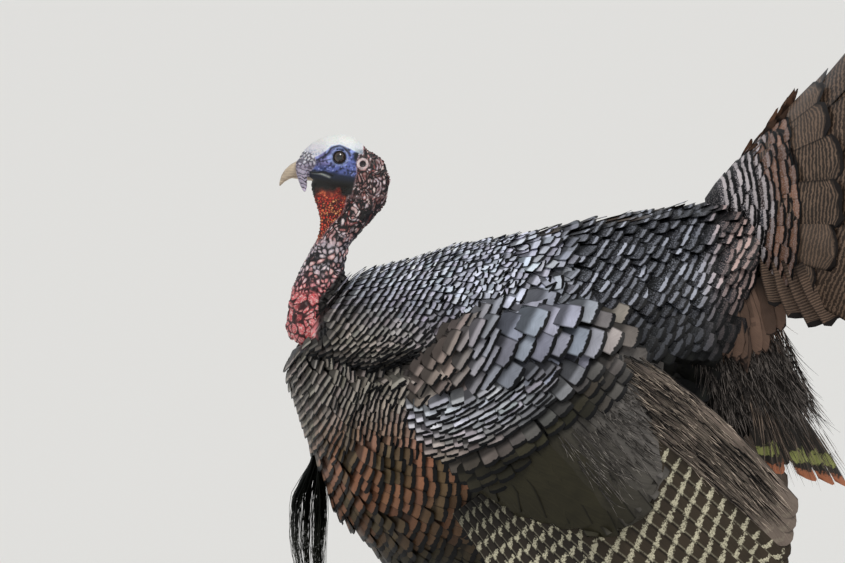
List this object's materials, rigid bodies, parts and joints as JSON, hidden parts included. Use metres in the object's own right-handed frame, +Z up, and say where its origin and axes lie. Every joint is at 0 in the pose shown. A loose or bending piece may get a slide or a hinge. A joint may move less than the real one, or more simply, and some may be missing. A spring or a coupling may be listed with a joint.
{
  "type": "wild turkey",
  "caption": "Life-size still model of a male wild turkey in half display, tail raised in a fan and wings lowered, standing on both feet.",
  "frame": {"origin": "on the ground under the middle of the whole bird's bounding box", "axes": "+Z up; the bird faces -X with its left side towards -Y, and its middle plane is y = 0"},
  "size_m": [0.7912, 0.5184, 1.0051],
  "materials": {
    "plumage": "dark bronze and slate body feathers with black edges",
    "saddle_feathers": "black rump feathers with grey bars and buff tips",
    "tail_feathers": "brown barred tail feathers with buff tips",
    "vent_feathers": "black plumes with chestnut tips",
    "flight_feathers": "black-brown feathers barred with cream",
    "neck_skin": "bare pebbled skin, pink to red",
    "face_skin": "bare blue skin under a white crown",
    "throat_skin": "bare red folds",
    "wattle": "bare red caruncles",
    "snood": "ringed pale flesh",
    "bill": "tan horn",
    "eye": "wet near-black brown",
    "leg_scales": "pinkish scales",
    "claw": "dark horn",
    "beard": "coarse black bristles"
  },
  "bodies": {
    "root": {"trunk": "plumage", "neck": "neck_skin", "head": "face_skin", "throat": "throat_skin", "wattles": "wattle", "snood": "snood", "bill_upper": "bill", "bill_lower": "bill", "beard": "beard", "tail_coverts": "saddle_feathers", "tail_fan": "tail_feathers", "vent_coverts": "vent_feathers", "eye_left": "eye", "wing_left": "plumage", "secondaries_left": "flight_feathers", "primaries_left": "flight_feathers", "thigh_left": "plumage", "shank_left": "leg_scales", "spur_left": "claw", "foot_left": "leg_scales", "claw_inner_left": "claw", "claw_middle_left": "claw", "claw_outer_left": "claw", "claw_back_left": "claw", "eye_right": "eye", "wing_right": "plumage", "secondaries_right": "flight_feathers", "primaries_right": "flight_feathers", "thigh_right": "plumage", "shank_right": "leg_scales", "spur_right": "claw", "foot_right": "leg_scales", "claw_inner_right": "claw", "claw_middle_right": "claw", "claw_outer_right": "claw", "claw_back_right": "claw"}
  },
  "joints": []
}
